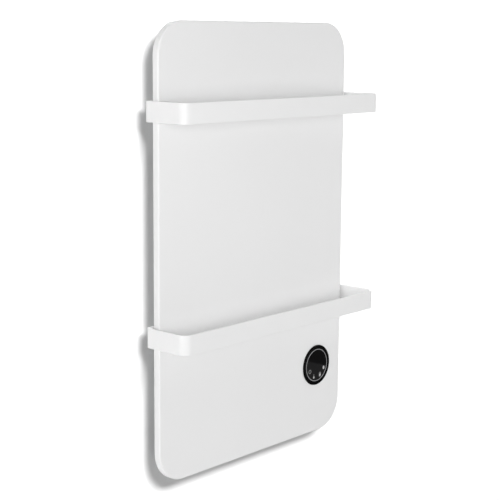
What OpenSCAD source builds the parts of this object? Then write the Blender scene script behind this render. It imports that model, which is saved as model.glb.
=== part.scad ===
// Wall-hung infrared panel heater with two towel bars and a round touch control.
// X runs to the right, Z up, and the wall is the plane Y = 0 with the heater in front of it (Y below 0).
// The origin is the centre of the four wall fixing slots.
// Every piece is drawn lying on its back, with its height above the wall along Z, and stood up at the end.

/* [Panel] */
// Width of the front panel
panel_w = 500; // [480:10:640]
// Height of the front panel
panel_h = 800; // [760:10:1000]
// Radius of the panel's corners
panel_r = 58; // [50:1:70]
// Depth of the panel from its front face to the lip at the back
panel_d = 14; // [13:0.5:18]
// Radius of the panel's front edge
edge_r = 3; // [2.5:0.1:4]
// Thickness of the front sheet
skin_t = 1.2; // [0.8:0.1:1.5]
// Width of the lip that is turned in at the back
lip_w = 12; // [11:0.5:13]
// Distance from the wall to the back of the rear cover
wall_gap = 29; // [29:1:36]

/* [Towel bars] */
// Height of the flat strip
bar_h = 35; // [30:1:40]
// Thickness of the strip
bar_t = 3; // [2.5:0.1:3.5]
// Distance from the panel's front face to the outside of a bar
bar_reach = 75; // [60:1:100]
// Gap between the panel's side and the strip
bar_side_gap = 10; // [7:0.5:12]
// Outside radius of the front bends
bar_front_r = 16; // [12:1:20]
// Outside radius of the rear bends
bar_rear_r = 4.5; // [4.5:0.5:6]
// Length of the strip that is turned in behind the panel
bar_tail = 42; // [42:1:46]
// Distance from the panel's top to the middle of the upper bar
upper_bar_drop = 150; // [120:1:170]
// Distance from the panel's bottom to the middle of the lower bar
lower_bar_rise = 266; // [250:1:290]
// Radius of a bar screw
bar_screw_r = 2.4; // [2:0.1:2.5]
// Distance between the two screws at one end of a bar
bar_screw_pitch = 20; // [16:1:22]

/* [Control] */
// Distance from the panel's right edge to the middle of the control
control_side = 74; // [74:1:86]
// Distance from the panel's bottom to the middle of the control
control_rise = 135; // [125:1:145]
// Outside radius of the control's bezel
bezel_r = 40; // [39.5:0.5:42]
// Height of the bezel in front of the panel
bezel_h = 2; // [1.8:0.1:3]
// Radius of the bezel's front edge
bezel_edge_r = 1.2; // [0.8:0.1:1.5]
// Radius of the glass disc
glass_r = 30.9; // [29:0.1:31]
// Width of the thin ring round the glass
trim_w = 1.2; // [1:0.1:1.5]
// Outside radius of the control's body behind the panel
body_r = 34.5; // [34:0.1:35]
// Number of touch keys
key_n = 4; // [3:1:5]
// Radius of the arc on which the touch keys lie
key_arc_r = 23.3; // [22:0.1:24]

/* [Heating element] */
// Margin between the heating stack and the panel's edge
stack_margin = 14; // [14:1:24]
// Thickness of each insulating film
film_t = 0.4; // [0.3:0.1:0.5]
// Thickness of the heating sheet
sheet_t = 0.6; // [0.4:0.1:0.7]
// Thickness of the reflector foil
foil_t = 0.2; // [0.1:0.1:0.3]
// Thickness of the insulation board
board_t = 6; // [4:0.5:6]
// Width of a busbar
busbar_w = 10; // [8:1:14]
// Radius of a thermal cut-out
cutout_r = 8; // [7:0.5:9]
// Thickness of a thermal cut-out's body
cutout_h = 5; // [4:0.5:5]

/* [Rear side] */
// Thickness of the rear cover
cover_t = 0.8; // [0.7:0.1:1]
// Distance from the panel's edge to the rear cover's edge
cover_inset = 4; // [3:0.5:5]
// Height of the pressed ribs
rib_h = 1.5; // [1:0.1:2]
// Width of the pressed ribs
rib_w = 14; // [10:1:16]
// Number of upright ribs
rib_n = 3; // [2:1:3]
// Width of the electronics box
box_w = 192; // [190:2:200]
// Height of the electronics box
box_l = 150; // [146:2:160]
// Depth of the electronics box
box_d = 22; // [21:0.5:24]
// Corner radius of the electronics box
box_r = 12; // [10:1:14]
// Width of the electronics box's flange
flange_w = 10; // [9:0.5:11]
// Number of vent slots in each row
vent_n = 9; // [5:1:10]
// Radius of a cover screw
cover_screw_r = 1.5; // [1.3:0.1:1.7]

/* [Wall rails] */
// Length of a wall rail
rail_len = 360; // [340:10:380]
// Thickness of the rail's sheet
rail_t = 2; // [1.8:0.1:2.5]
// Distance from the wall to the outside of the rail's lip
rail_d = 22; // [20:0.5:23]
// Height of the rail's lip
rail_lip = 16; // [15:0.5:18]
// Distance between the two slots of a rail
slot_pitch = 300; // [280:10:310]
// Width of a slot
slot_w = 5.5; // [5:0.1:6.5]
// Length of a slot
slot_len = 12; // [10:1:14]
// Width of a hook
hook_w = 60; // [50:2:64]
// Distance between the two hooks on a rail
hook_pitch = 210; // [200:5:220]
// Thickness of a hook
hook_t = 2; // [1.8:0.1:2.5]
// How far the heater is lifted to clear the rails
lift = 12; // [11:0.5:14]

/* [Inlet and wiring] */
// Radius of the hole for the mains cord
cord_r = 3.3; // [3:0.1:3.6]
// Radius of the gland's thread
gland_r = 6; // [5.5:0.1:6.5]
// Distance across the flats of the gland's hexagon
gland_af = 16; // [15:0.5:17]
// Radius of the power leads
lead_r = 1.1; // [0.9:0.1:1.2]
// Radius of the sensor lead
sensor_lead_r = 0.8; // [0.6:0.1:0.9]

/* [Hidden] */
$fn = 64;

fit_gap = 0.3;
slide_gap = 0.1;
past = 1;

cover_z = wall_gap + cover_t;
front_z = cover_z + panel_d;
skin_z = front_z - skin_t;
film1_z = skin_z - film_t;
sheet_z = film1_z - sheet_t;
film2_z = sheet_z - film_t;
foil_z = film2_z - foil_t;
board_z = foil_z - board_t;

bar_w = panel_w + 2 * (bar_side_gap + bar_t);
bar_front_z = front_z + bar_reach;
upper_bar_y = panel_h / 2 - upper_bar_drop;
lower_bar_y = lower_bar_rise - panel_h / 2;
bar_hole_r = bar_screw_r + 0.3;
nut_plate_w = 16;
bar_screw_x = panel_w / 2 - lip_w - fit_gap - nut_plate_w / 2;
nut_plate_h = 34;
nut_plate_t = 3;

control_x = panel_w / 2 - control_side;
control_y = control_rise - panel_h / 2;
gasket_t = 0.3;
body_flange_t = 0.6;
body_flange_r = bezel_r - 1.6;
body_wall = 2;
body_back_z = 12;
bezel_z = front_z + gasket_t;
bezel_top_z = front_z + bezel_h;
body_flange_z = bezel_z + body_flange_t;
trim_r = glass_r + 0.1 + trim_w;
control_nut_r = 39.5;
control_nut_h = 6;
control_hole_r = body_r + 0.4;

spacer_r = 7;
spacer_hole_r = 4;
spacer_barb = 0.9;
spacer_x = panel_w / 2 - lip_w - spacer_hole_r - spacer_barb - fit_gap;
left_spacer_in = 33;

box_top = control_y + body_r + 8.5;
box_right = spacer_x - spacer_r - flange_w - 1;
box_x = box_right - box_w / 2;
box_y = box_top - box_l / 2;
box_z = wall_gap - box_d;
box_left = box_right - box_w;
box_bottom = box_top - box_l;

cross_rib_pitch = 48;
spacer_y = box_y - cross_rib_pitch / 2;
spacer_places = [[left_spacer_in - spacer_x, spacer_y], [spacer_x, spacer_y]];

rail_below = 24;
rail_above = 14;
rail_clear = 6;
rail_y = -(box_top + lift + rail_below + rail_clear);
rail_bend = 2;
rail_seat = rail_lip - rail_below;
hook_drop = 10;
hook_rise = 33;
hook_web_y = rail_seat + fit_gap;
rivet_r = 2;
rivet_pitch = 30;
backing_t = 2;

stack_w = panel_w - 2 * stack_margin;
stack_r = panel_r - stack_margin;
stack_bottom = box_top + 17;
tab_len = 12;
tab_x = stack_w / 2 - 4 - busbar_w / 2;
tab_y = stack_bottom - tab_len;
cutout_in = 127;
cutout_x = tab_x - cutout_in;
cutout_y = stack_bottom + 14;
notch_r = cutout_r + 3;

grommet_x = box_left + 62;
grommet_y = box_top - 11;
grommet_r = 6;
sensor_x = grommet_x - 54.8;
sensor_y = stack_bottom + 40;

pcb_w = 92;
pcb_l = 106;
pcb_t = 1.6;
pcb_x = box_left + 8 + pcb_w / 2;
pcb_y = box_bottom + 12 + pcb_l / 2;
standoff_h = 5;
pcb_back_z = wall_gap - standoff_h;
pcb_z = pcb_back_z - pcb_t;
standoff_inset = 5;
ribbon_t = 0.9;
ribbon_w = 12;
ribbon_y = -13;

terminal_x = control_x - 2;
terminal_y = box_bottom + 36;
terminal_w = 42;
terminal_l = 20;
terminal_h = 15;
gland_x = terminal_x;
gland_z = wall_gap - box_d / 2;
gland_body_l = 6;
gland_cap_l = 12;
gland_thread_l = 8;
earth_in = 121;
earth_x = box_left + earth_in;
earth_y = box_bottom + 16;

// A rectangle with round corners, centred on the origin
module round_rect(w, h, r) {
    square([w - 2 * r, h], center = true);
    square([w, h - 2 * r], center = true);
    for (sx = [-1, 1], sy = [-1, 1])
        translate([sx * (w / 2 - r), sy * (h / 2 - r)])
            circle(r);
}

// A slot with round ends, centred on the origin, its length along X
module slot_2d(len, w) {
    square([len - w, w], center = true);
    for (s = [-1, 1])
        translate([s * (len - w) / 2, 0])
            circle(w / 2);
}

// A strip of sheet that follows the corner points of its middle line, with a right-angled bend at each
module bent_strip(pts, radii, t) {
    n = len(pts);
    for (i = [0 : n - 2]) {
        d = pts[i + 1] - pts[i];
        run = norm(d);
        cut_in = i > 0 ? radii[i - 1] : 0;
        cut_out = i < n - 2 ? radii[i] : 0;
        translate(pts[i])
            rotate(atan2(d[1], d[0]))
                translate([cut_in, -t / 2])
                    square([run - cut_in - cut_out, t]);
    }
    for (i = [1 : n - 2]) {
        before = (pts[i] - pts[i - 1]) / norm(pts[i] - pts[i - 1]);
        after = (pts[i + 1] - pts[i]) / norm(pts[i + 1] - pts[i]);
        r = radii[i - 1];
        side = before - after;
        outer = r + t / 2;
        translate(pts[i] - side * r)
            intersection() {
                difference() {
                    circle(outer);
                    circle(r - t / 2);
                }
                translate([side[0] > 0 ? 0 : -outer, side[1] > 0 ? 0 : -outer])
                    square(outer);
            }
    }
}

// Carries a section round the outline of a rectangle with round corners.
// The section's X is measured outwards from the centre of the corner, and its Y is the height.
module round_the_edge(w, h, r) {
    for (k = [0 : 3]) {
        across = (k % 2 == 0 ? w : h) / 2 - r;
        along = (k % 2 == 0 ? h : w) - 2 * r;
        rotate(90 * k)
            translate([across, along / 2, 0]) {
                rotate([90, 0, 0])
                    linear_extrude(along)
                        children();
                rotate_extrude(angle = 90)
                    children();
            }
    }
}

// A length of section that runs along X, drawn in the plane of Y and Z
module along_x(len) {
    rotate([90, 0, 90])
        linear_extrude(len, center = true)
            children();
}

// A length of section that runs along Y, drawn in the plane of X and Z
module along_y(len) {
    rotate([90, 0, 0])
        linear_extrude(len, center = true)
            children();
}

// A pan-head screw that points away from the wall, with its head's underside at the origin
module pan_screw(r, head_r, head_h, shank) {
    translate([0, 0, -head_h])
        difference() {
            cylinder(r = head_r, h = head_h);
            translate([0, 0, -past])
                cylinder(r = r * 0.8, h = head_h * 0.6 + past, $fn = 6);
        }
    cylinder(r = r, h = shank);
}

function unit(v) = v / norm(v);
function dir_at(p, i) = unit(p[min(i + 1, len(p) - 1)] - p[max(i - 1, 0)]);
function level(v, t) = unit(v - (v * t) * t);
function carry(p, v, i = 0) =
    i == len(p) ? [] : let(n = level(v, dir_at(p, i))) concat([n], carry(p, n, i + 1));
function cut_corners(p) = [
    p[0],
    for (i = [0 : len(p) - 2], s = [0.25, 0.75])
        if (!(i == 0 && s < 0.5) && !(i == len(p) - 2 && s > 0.5))
            p[i] + (p[i + 1] - p[i]) * s,
    p[len(p) - 1]
];

// A round lead whose middle line is the smoothed run of the given points
module lead(route, r, sides = 8) {
    p = cut_corners(cut_corners(route));
    first = abs(dir_at(p, 0)[2]) > 0.9 ? [1, 0, 0] : [0, 0, 1];
    up = carry(p, first);
    rings = len(p);
    points = [
        for (i = [0 : rings - 1], k = [0 : sides - 1])
            let(a = 360 * k / sides, side = cross(dir_at(p, i), up[i]))
                p[i] + r * (cos(a) * up[i] + sin(a) * side)
    ];
    quads = [
        for (i = [0 : rings - 2], k = [0 : sides - 1])
            let(a = i * sides + k, b = i * sides + (k + 1) % sides)
                [a, a + sides, b + sides, b]
    ];
    start = [for (k = [0 : sides - 1]) k];
    end = [for (k = [sides - 1 : -1 : 0]) (rings - 1) * sides + k];
    polyhedron(points, concat(quads, [start, end]));
}

// Turns what is drawn lying on its back upright against the wall
module stand() {
    rotate([90, 0, 0])
        children();
}

// The places of the rear cover's screws, on the lip: beside the corners, and between the bars
cover_screw_inset = (lip_w + cover_inset) / 2;
screw_to_bar = 70;
side_screw_ys = [
    panel_h / 2 - panel_r,
    upper_bar_y - screw_to_bar,
    lower_bar_y + screw_to_bar,
    lower_bar_y - screw_to_bar,
    panel_r - panel_h / 2
];
end_screw_n = 3;
cover_screw_places = concat(
    [
        for (s = [-1, 1], y = side_screw_ys)
            [s * (panel_w / 2 - cover_screw_inset), y]
    ],
    [
        for (s = [-1, 1], k = [0 : end_screw_n - 1])
            [
                (panel_w - 2 * panel_r) / 2 * (k - 1),
                s * (panel_h / 2 - cover_screw_inset)
            ]
    ]
);
bar_screw_places = [
    for (y = [upper_bar_y, lower_bar_y], sx = [-1, 1], sy = [-1, 1])
        [sx * bar_screw_x, y + sy * bar_screw_pitch / 2]
];
flange_mid = flange_w / 2 + 0.5;
box_screw_places = concat(
    [
        for (sx = [-1, 1], sy = [-1, 1])
            [box_x + sx * (box_w / 2 + flange_mid), box_y + sy * (box_l / 2 - 2 * box_r)]
    ],
    [for (sy = [-1, 1]) [box_x, box_y + sy * (box_l / 2 + flange_mid)]]
);
hook_places = [for (sy = [-1, 1], sx = [-1, 1]) [sx * hook_pitch / 2, sy * rail_y]];
rivet_y = hook_web_y + hook_rise - 12;
standoff_places = [
    for (sx = [-1, 1], sy = [-1, 1])
        [pcb_x + sx * (pcb_w / 2 - standoff_inset), pcb_y + sy * (pcb_l / 2 - standoff_inset)]
];
cutout_places = [[-cutout_x, cutout_y], [cutout_x, cutout_y]];

module rail_section() {
    bent_strip(
        [
            [rail_above, rail_t / 2],
            [rail_t / 2 - rail_below, rail_t / 2],
            [rail_t / 2 - rail_below, rail_d - rail_t / 2],
            [rail_lip - rail_below, rail_d - rail_t / 2]
        ],
        [rail_bend, rail_bend],
        rail_t
    );
}

// A folded rail: flange on the wall, web, and an upward lip that carries the hooks
module wall_rail(y) {
    stand()
        translate([0, y, 0])
            difference() {
                along_x(rail_len)
                    rail_section();
                for (s = [-1, 1])
                    translate([s * slot_pitch / 2, 0, -past])
                        linear_extrude(rail_t + 2 * past)
                            slot_2d(slot_len, slot_w);
            }
}

module upper_wall_rail() {
    color("lightgrey")
        wall_rail(rail_y);
}

module lower_wall_rail() {
    color("lightgrey")
        wall_rail(-rail_y);
}

module tray_section() {
    corner = panel_r - skin_t / 2;
    bent_strip(
        [
            [panel_r - edge_r - 2, front_z - skin_t / 2],
            [corner, front_z - skin_t / 2],
            [corner, cover_z + skin_t / 2],
            [panel_r - lip_w, cover_z + skin_t / 2]
        ],
        [edge_r - skin_t / 2, 2 - skin_t / 2],
        skin_t
    );
}

// The pressed front: flat face, radiused edge, side wall and a lip turned in at the back
module front_panel() {
    color("white")
        stand()
            difference() {
                union() {
                    round_the_edge(panel_w, panel_h, panel_r)
                        tray_section();
                    translate([0, 0, skin_z])
                        linear_extrude(skin_t)
                            round_rect(
                                panel_w - 2 * (edge_r + 2),
                                panel_h - 2 * (edge_r + 2),
                                panel_r - edge_r - 2
                            );
                }
                translate([control_x, control_y, skin_z - past])
                    cylinder(r = control_hole_r, h = skin_t + 2 * past);
                for (p = cover_screw_places)
                    translate([p[0], p[1], cover_z - past])
                        cylinder(r = cover_screw_r + slide_gap, h = skin_t + 2 * past);
            }
}

rib_pitch = 180;
rib_foot = stack_bottom + 65;
rib_head = panel_h / 2 - 60;
cross_rib_n = 3;
cross_rib_len = panel_w / 2 + box_left - flange_w - 50;
cross_rib_x = (box_left - flange_w - panel_w / 2) / 2 - 2;

module rib_outlines(inset) {
    for (k = [0 : rib_n - 1])
        translate([rib_pitch * (k - (rib_n - 1) / 2), (rib_foot + rib_head) / 2])
            rotate(90)
                slot_2d(rib_head - rib_foot - 2 * inset, rib_w - 2 * inset);
    for (k = [0 : cross_rib_n - 1])
        translate([cross_rib_x, box_y + cross_rib_pitch * (k - (cross_rib_n - 1) / 2)])
            slot_2d(cross_rib_len - 2 * inset, rib_w - 2 * inset);
}

// The sheet that closes the back, with its pressed ribs and the holes for all that it carries
module rear_cover() {
    color("gainsboro")
        stand()
            difference() {
                union() {
                    translate([0, 0, wall_gap])
                        linear_extrude(cover_t)
                            round_rect(
                                panel_w - 2 * cover_inset,
                                panel_h - 2 * cover_inset,
                                panel_r - cover_inset
                            );
                    translate([0, 0, wall_gap - rib_h])
                        linear_extrude(rib_h + cover_t)
                            rib_outlines(0);
                }
                translate([0, 0, wall_gap - rib_h + cover_t])
                    linear_extrude(rib_h + past)
                        rib_outlines(cover_t);
                translate([0, 0, wall_gap - past])
                    linear_extrude(cover_t + 2 * past) {
                        translate([control_x, control_y])
                            circle(body_r + 2.5);
                        translate([grommet_x, grommet_y])
                            circle(grommet_r);
                        translate([earth_x, earth_y])
                            circle(2);
                        for (p = spacer_places)
                            translate(p)
                                circle(spacer_hole_r);
                        for (p = cover_screw_places)
                            translate(p)
                                circle(cover_screw_r + slide_gap);
                        for (p = bar_screw_places)
                            translate(p)
                                circle(bar_hole_r);
                        for (p = box_screw_places)
                            translate(p)
                                circle(cover_screw_r + slide_gap);
                        for (p = hook_places, s = [-1, 1])
                            translate([p[0] + s * rivet_pitch / 2, p[1] + rivet_y])
                                circle(rivet_r);
                        for (p = standoff_places)
                            translate(p)
                                circle(1.5);
                    }
            }
}

module rear_cover_screws() {
    color("silver")
        stand()
            for (p = cover_screw_places)
                translate([p[0], p[1], wall_gap])
                    pan_screw(cover_screw_r, 3.2, 2, cover_t + skin_t + 1.5);
}

bar_rear_z = wall_gap - bar_t;

// One towel bar: front run, two returns past the panel's sides, and the tails behind it
module towel_bar(y) {
    half = bar_w / 2 - bar_t / 2;
    stand()
        translate([0, y, 0])
            difference() {
                along_y(bar_h)
                    bent_strip(
                        [
                            [bar_tail - bar_w / 2, bar_rear_z + bar_t / 2],
                            [-half, bar_rear_z + bar_t / 2],
                            [-half, bar_front_z - bar_t / 2],
                            [half, bar_front_z - bar_t / 2],
                            [half, bar_rear_z + bar_t / 2],
                            [bar_w / 2 - bar_tail, bar_rear_z + bar_t / 2]
                        ],
                        [
                            bar_rear_r - bar_t / 2,
                            bar_front_r - bar_t / 2,
                            bar_front_r - bar_t / 2,
                            bar_rear_r - bar_t / 2
                        ],
                        bar_t
                    );
                for (sx = [-1, 1], sy = [-1, 1])
                    translate([sx * bar_screw_x, sy * bar_screw_pitch / 2, bar_rear_z - past])
                        cylinder(r = bar_hole_r, h = bar_t + 2 * past);
            }
}

module upper_towel_bar() {
    color("white")
        towel_bar(upper_bar_y);
}

module lower_towel_bar() {
    color("white")
        towel_bar(lower_bar_y);
}

module bar_screws(y) {
    stand()
        for (sx = [-1, 1], sy = [-1, 1])
            translate([sx * bar_screw_x, y + sy * bar_screw_pitch / 2, bar_rear_z])
                pan_screw(bar_screw_r, 2 * bar_screw_r, 2.6, bar_t + cover_t + nut_plate_t);
}

module upper_bar_screws() {
    color("silver")
        bar_screws(upper_bar_y);
}

module lower_bar_screws() {
    color("silver")
        bar_screws(lower_bar_y);
}

// Threaded plates behind the rear cover, one for each end of each bar
module bar_nut_plates() {
    color("darkgrey")
        stand()
            for (sx = [-1, 1], y = [upper_bar_y, lower_bar_y])
                translate([sx * bar_screw_x, y, cover_z])
                    difference() {
                        linear_extrude(nut_plate_t)
                            round_rect(nut_plate_w, nut_plate_h, 2);
                        for (sy = [-1, 1])
                            translate([0, sy * bar_screw_pitch / 2, -past])
                                cylinder(r = bar_screw_r + slide_gap / 2, h = nut_plate_t + 2 * past);
                    }
}

// Two hooks: foot on the rear cover, web over the rail's lip, and a tongue down behind it
module hook_pair(y) {
    tongue_z = rail_d - rail_t - fit_gap - hook_t / 2;
    foot_z = wall_gap - hook_t / 2;
    web_y = hook_web_y + hook_t / 2;
    stand()
        for (s = [-1, 1])
            translate([s * hook_pitch / 2, y, 0])
                difference() {
                    along_x(hook_w)
                        bent_strip(
                            [
                                [hook_web_y + hook_rise, foot_z],
                                [web_y, foot_z],
                                [web_y, tongue_z],
                                [hook_web_y - hook_drop, tongue_z]
                            ],
                            [hook_t, hook_t],
                            hook_t
                        );
                    for (r = [-1, 1])
                        translate([r * rivet_pitch / 2, rivet_y, wall_gap - hook_t - past])
                            cylinder(r = rivet_r, h = hook_t + 2 * past);
                }
}

module upper_hooks() {
    color("silver")
        hook_pair(rail_y);
}

module lower_hooks() {
    color("silver")
        hook_pair(-rail_y);
}

module hook_rivets() {
    body = hook_t + cover_t + backing_t;
    color("grey")
        stand()
            for (p = hook_places, s = [-1, 1])
                translate([p[0] + s * rivet_pitch / 2, p[1] + rivet_y, wall_gap - hook_t])
                    rotate_extrude()
                        polygon([
                            [0, -1.4], [2.4, -1.4], [4, -0.4], [4, 0], [rivet_r, 0],
                            [rivet_r, body], [3, body], [3, body + 1], [0, body + 1]
                        ]);
}

module hook_backing_plates() {
    color("darkgrey")
        stand()
            for (p = hook_places)
                translate([p[0], p[1] + rivet_y, cover_z])
                    difference() {
                        linear_extrude(backing_t)
                            round_rect(hook_w - 6, 20, 3);
                        for (s = [-1, 1])
                            translate([s * rivet_pitch / 2, 0, -past])
                                cylinder(r = rivet_r, h = backing_t + 2 * past);
                    }
}

// Rubber buffers that are pushed into the rear cover and reach the wall
module wall_spacers() {
    neck = spacer_hole_r - slide_gap;
    color("dimgrey")
        stand()
            for (p = spacer_places)
                translate([p[0], p[1], 0])
                    rotate_extrude()
                        polygon([
                            [0, fit_gap], [spacer_r - 2.5, fit_gap], [spacer_r - 1.5, fit_gap + 1],
                            [spacer_r, wall_gap - 3], [spacer_r, wall_gap], [neck, wall_gap],
                            [neck, cover_z], [neck + spacer_barb, cover_z],
                            [neck - spacer_barb, cover_z + 3], [0, cover_z + 3]
                        ]);
}

module stack_outline(inset, bottom) {
    intersection() {
        round_rect(stack_w - 2 * inset, panel_h - 2 * (stack_margin + inset), stack_r - inset);
        translate([-stack_w, bottom])
            square([2 * stack_w, panel_h]);
    }
}

// Ears of film under the busbar tabs, so that they never touch the steel
module tab_ears(margin) {
    for (s = [-1, 1])
        translate([s * tab_x - busbar_w / 2 - margin, tab_y - margin])
            square([busbar_w + 2 * margin, tab_len + margin + 1]);
}

module front_insulating_sheet() {
    color("wheat")
        stand()
            translate([0, 0, film1_z])
                linear_extrude(film_t) {
                    stack_outline(0, stack_bottom);
                    tab_ears(2);
                }
}

module busbar_strips() {
    for (s = [-1, 1])
        translate([s * tab_x - busbar_w / 2, tab_y])
            square([busbar_w, tab_len + panel_h / 2 - stack_bottom - panel_r]);
}

// The layer that heats, between the two busbars
module heating_sheet() {
    color("black")
        stand()
            translate([0, 0, sheet_z])
                linear_extrude(sheet_t)
                    difference() {
                        stack_outline(4, stack_bottom + 4);
                        busbar_strips();
                    }
}

module busbars() {
    color("peru")
        stand()
            translate([0, 0, sheet_z])
                linear_extrude(sheet_t)
                    busbar_strips();
}

module rear_insulating_sheet() {
    color("wheat")
        stand()
            translate([0, 0, film2_z])
                linear_extrude(film_t)
                    stack_outline(0, stack_bottom);
}

// Open notches in the foil and the board, so that the cut-outs touch the heating stack
module cutout_notches() {
    for (p = cutout_places) {
        translate(p)
            circle(notch_r);
        translate([p[0] - notch_r, stack_bottom - past])
            square([2 * notch_r, p[1] - stack_bottom + past]);
    }
    translate([sensor_x, sensor_y])
        circle(4);
    translate([sensor_x - 2, stack_bottom - past])
        square([4, sensor_y - stack_bottom + past]);
}

module reflector_foil() {
    color("silver")
        stand()
            translate([0, 0, foil_z])
                linear_extrude(foil_t)
                    difference() {
                        stack_outline(6, stack_bottom + 2);
                        cutout_notches();
                    }
}

module insulation_board() {
    color("ivory")
        stand()
            translate([0, 0, board_z])
                linear_extrude(board_t)
                    difference() {
                        stack_outline(2, stack_bottom);
                        cutout_notches();
                    }
}

blade_w = 3;
blade_t = 0.8;
blade_h = 3.5;

// Two bimetal cut-outs with a flange against the stack and two blades each
module thermal_cutouts() {
    color("grey")
        stand()
            for (p = cutout_places)
                translate([p[0], p[1], film2_z]) {
                    translate([0, 0, -1])
                        cylinder(r = cutout_r + 1, h = 1);
                    translate([0, 0, -cutout_h])
                        cylinder(r = cutout_r, h = cutout_h - 1);
                    for (s = [-1, 1])
                        translate([s * 4.5 - blade_t / 2, -blade_w / 2, -cutout_h - blade_h])
                            cube([blade_t, blade_w, blade_h]);
                }
}

module panel_sensor() {
    color("black")
        stand()
            translate([sensor_x, sensor_y, film2_z - 2]) {
                cylinder(r = 3, h = 2);
                translate([0, 0, -1.5])
                    cylinder(r = 2, h = 1.5);
            }
}

module at_control(z) {
    stand()
        translate([control_x, control_y, z])
            children();
}

bore_r = body_r - body_wall;

// Round body of the control: flange in front of the panel, tube, shoulder for the glass and a back wall
module control_housing() {
    color([0.12, 0.12, 0.13])
        at_control(0)
            difference() {
                union() {
                    translate([0, 0, body_back_z])
                        cylinder(r = body_r, h = body_flange_z - body_back_z);
                    translate([0, 0, bezel_z])
                        cylinder(r = body_flange_r, h = body_flange_t);
                }
                translate([0, 0, body_back_z + body_wall])
                    cylinder(r = bore_r, h = body_flange_z - body_back_z - body_wall - 1.5);
                translate([0, 0, body_flange_z - 1.5 - past])
                    cylinder(r = glass_r - 2, h = 1.5 + 2 * past);
                translate([-body_r - past, ribbon_y - ribbon_w / 2 - 1, body_back_z + body_wall])
                    cube([body_r / 2, ribbon_w + 2, 5]);
            }
}

module ring(outer, inner, h) {
    difference() {
        cylinder(r = outer, h = h);
        translate([0, 0, -past])
            cylinder(r = inner, h = h + 2 * past);
    }
}

module control_gasket() {
    color("dimgrey")
        at_control(front_z)
            ring(body_flange_r, control_hole_r, gasket_t);
}

// Ring nut that draws the control back against the panel, with notches for a spanner
module control_nut() {
    color("dimgrey")
        at_control(skin_z - control_nut_h)
            difference() {
                ring(control_nut_r, body_r + slide_gap, control_nut_h);
                for (k = [0 : 7])
                    rotate(45 * k)
                        translate([control_nut_r - 1.5, -3, -past])
                            cube([3, 6, control_nut_h - 1]);
            }
}

// Gloss ring round the control, with a radiused front edge
module control_bezel() {
    inner = trim_r + 0.1;
    round_x = bezel_r - bezel_edge_r;
    color([0.03, 0.03, 0.03])
        at_control(0)
            rotate_extrude()
                difference() {
                    union() {
                        translate([inner, front_z])
                            square([round_x - inner, bezel_h]);
                        translate([inner, front_z])
                            square([bezel_r - inner, bezel_h - bezel_edge_r]);
                        translate([round_x, bezel_top_z - bezel_edge_r])
                            intersection() {
                                circle(bezel_edge_r);
                                square(bezel_edge_r);
                            }
                    }
                    translate([0, front_z - past])
                        square([body_flange_r + slide_gap, body_flange_z - front_z + past]);
                }
}

module control_trim_ring() {
    color("grey")
        at_control(body_flange_z)
            ring(trim_r, glass_r + 0.1, bezel_top_z - body_flange_z + 0.1);
}

module control_glass() {
    color([0.05, 0.05, 0.06])
        at_control(body_flange_z)
            cylinder(r = glass_r, h = bezel_top_z - body_flange_z - 0.1);
}

display_board_t = 1.6;
display_board_z = body_flange_z - 1.5 - 3.4 - display_board_t;
display_part_h = body_flange_z - display_board_z - display_board_t;

module display_board() {
    color("darkgreen")
        at_control(display_board_z)
            cylinder(r = bore_r - slide_gap, h = display_board_t);
}

module display_module() {
    color("black")
        at_control(display_board_z + display_board_t)
            translate([-13, -1, 0])
                cube([26, 15, display_part_h]);
}

module touch_pads() {
    color("silver")
        at_control(display_board_z + display_board_t)
            for (k = [0 : key_n - 1])
                rotate(-90 + 45 * (k - (key_n - 1) / 2))
                    translate([key_arc_r, 0, 0])
                        cylinder(r = 3, h = display_part_h);
}

module box_section() {
    mid = box_r - cover_t / 2;
    bent_strip(
        [
            [box_r - 5, box_z + cover_t / 2],
            [mid, box_z + cover_t / 2],
            [mid, wall_gap - cover_t / 2],
            [box_r + flange_w, wall_gap - cover_t / 2]
        ],
        [3, 1],
        cover_t
    );
}

vent_pitch = 10;
vent_row_pitch = 48;
vent_len = 32;
vent_w = 4;

// Pressed box over the power electronics, with a flange, two rows of vent slots and the inlet's hole
module electronics_cover() {
    color("gainsboro")
        stand()
            difference() {
                translate([box_x, box_y, 0]) {
                    round_the_edge(box_w, box_l, box_r)
                        box_section();
                    translate([0, 0, box_z])
                        linear_extrude(cover_t)
                            round_rect(box_w - 10, box_l - 10, box_r - 5);
                }
                for (p = box_screw_places)
                    translate([p[0], p[1], wall_gap - cover_t - past])
                        cylinder(r = cover_screw_r + slide_gap, h = cover_t + 2 * past);
                for (row = [0, 1], k = [0 : vent_n - 1])
                    translate([
                        pcb_x + vent_pitch * (k - (vent_n - 1) / 2),
                        pcb_y + vent_row_pitch * (0.5 - row),
                        box_z - past
                    ])
                        linear_extrude(cover_t + 2 * past)
                            rotate(90)
                                slot_2d(vent_len, vent_w);
                translate([gland_x, box_bottom + 2, gland_z])
                    rotate([90, 0, 0])
                        cylinder(r = gland_r + slide_gap, h = 4);
            }
}

module electronics_cover_screws() {
    color("silver")
        stand()
            for (p = box_screw_places)
                translate([p[0], p[1], wall_gap - cover_t])
                    pan_screw(cover_screw_r, 3, 2, 2 * cover_t + 2);
}

module power_board() {
    color("darkgreen")
        stand()
            translate([0, 0, pcb_z])
                difference() {
                    translate([pcb_x, pcb_y, 0])
                        linear_extrude(pcb_t)
                            square([pcb_w, pcb_l], center = true);
                    for (p = standoff_places)
                        translate([p[0], p[1], -past])
                            cylinder(r = 1.5 + slide_gap, h = pcb_t + 2 * past);
                }
}

module board_standoffs() {
    color("ivory")
        stand()
            for (p = standoff_places)
                translate([p[0], p[1], pcb_back_z])
                    difference() {
                        union() {
                            cylinder(r = 3.5, h = standoff_h);
                            cylinder(r = 1.5, h = standoff_h + cover_t + 1);
                        }
                        translate([0, 0, -past])
                            cylinder(r = 1.2, h = standoff_h - 1 + past);
                    }
}

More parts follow.
